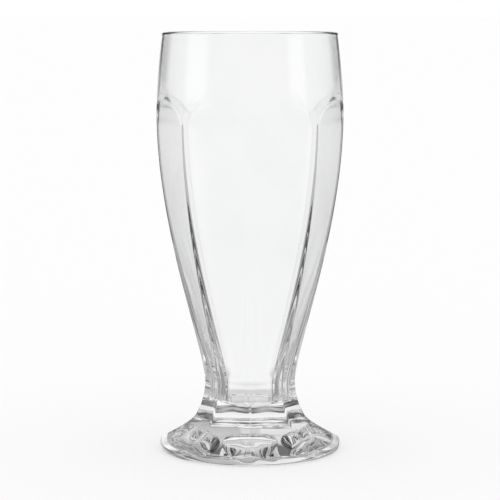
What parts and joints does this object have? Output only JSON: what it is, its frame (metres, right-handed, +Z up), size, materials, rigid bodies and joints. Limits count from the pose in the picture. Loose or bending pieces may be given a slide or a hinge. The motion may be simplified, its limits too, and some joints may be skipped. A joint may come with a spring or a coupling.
{
  "type": "sundae glass",
  "caption": "Tall footed sundae glass of clear pressed glass: a panelled bowl with arched panel tops under a round lip band, a short solid stem and a broad foot with a scalloped edge.",
  "frame": {"origin": "on the table, under the middle of the foot", "axes": "+Z up along the axis of the glass, -Y the side that faces the camera, with a ridge in the middle of it"},
  "size_m": [0.08, 0.08, 0.18],
  "materials": {
    "bowl_glass": "clear, fire-polished",
    "stem_glass": "clear, fire-polished",
    "foot_glass": "clear, fire-polished"
  },
  "bodies": {
    "root": {"bowl": "bowl_glass", "stem": "stem_glass", "foot": "foot_glass"}
  },
  "joints": []
}
